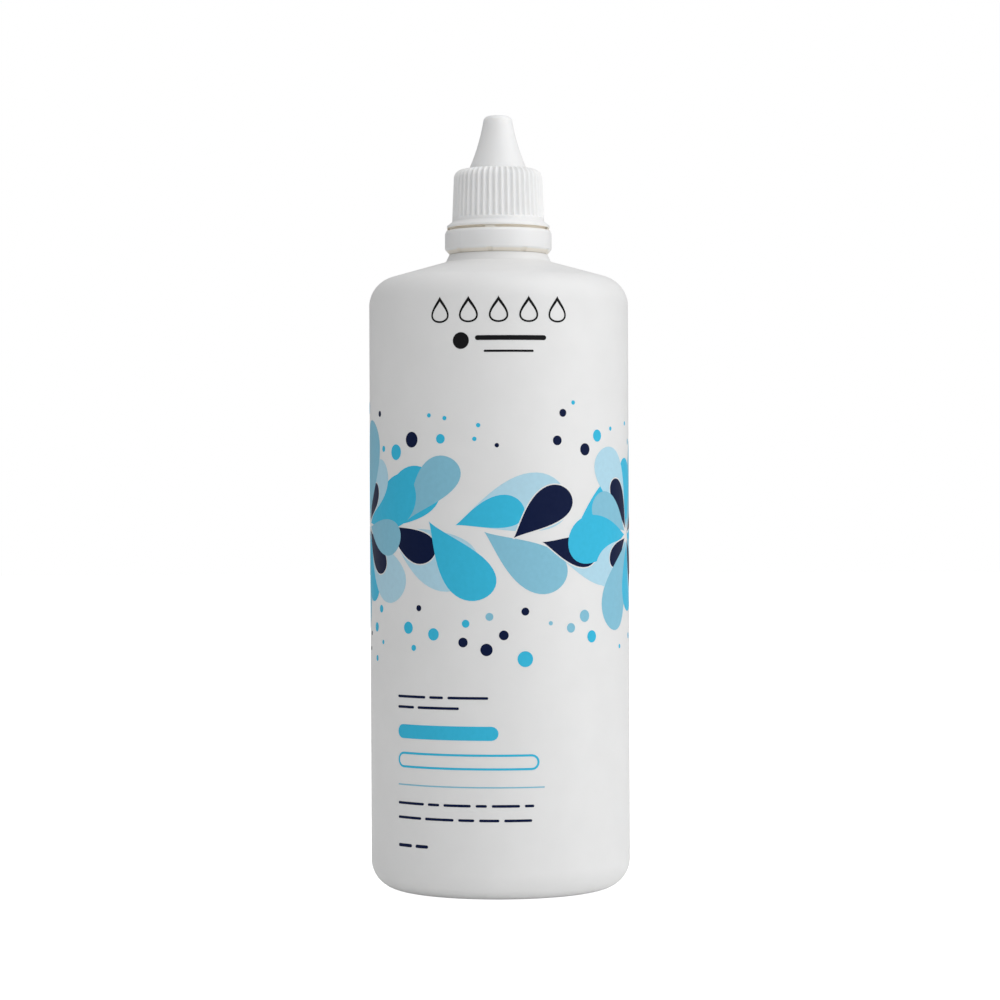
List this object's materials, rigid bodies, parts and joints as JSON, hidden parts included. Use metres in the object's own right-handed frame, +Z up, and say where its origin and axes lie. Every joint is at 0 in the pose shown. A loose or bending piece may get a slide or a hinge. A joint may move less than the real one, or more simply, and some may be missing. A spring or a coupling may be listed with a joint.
{
  "type": "contact lens solution bottle",
  "caption": "Round white squeeze bottle for contact lens saline, with a press-in dropper nozzle under a ribbed, pointed screw cap and a tamper band.",
  "frame": {"origin": "centre of the base, on the surface the bottle stands on", "axes": "+Z up along the bottle's axis, the main printed side faces -Y"},
  "size_m": [0.061, 0.061, 0.1817],
  "materials": {
    "bottle_plastic": "satin",
    "dropper_plastic": "satin",
    "closure_plastic": "satin",
    "saline": "polished",
    "ink_navy": "satin",
    "ink_blue": "satin",
    "ink_pale": "satin",
    "ink_sky": "satin",
    "ink_black": "satin"
  },
  "bodies": {
    "bottle": {"bottle": "bottle_plastic", "dropper_insert": "dropper_plastic", "saline_solution": "saline"},
    "tamper_band": {"tamper_band": "closure_plastic"},
    "screw_cap": {"screw_cap": "closure_plastic"}
  },
  "joints": [
    {"name": "closure_turn", "type": "hinge", "parent": "bottle", "child": "tamper_band", "pos_m": [0, 0, 0.155], "axis": [0, 0, 1], "range_deg": [0, 3240]},
    {"name": "cap_lift", "type": "slide", "parent": "tamper_band", "child": "screw_cap", "axis": [0, 0, 1], "range_m": [0, 0.0271]}
  ],
  "couplings": [
    {"joint": "cap_lift", "follows": "closure_turn", "m_per_rad": 0.00047746}
  ]
}
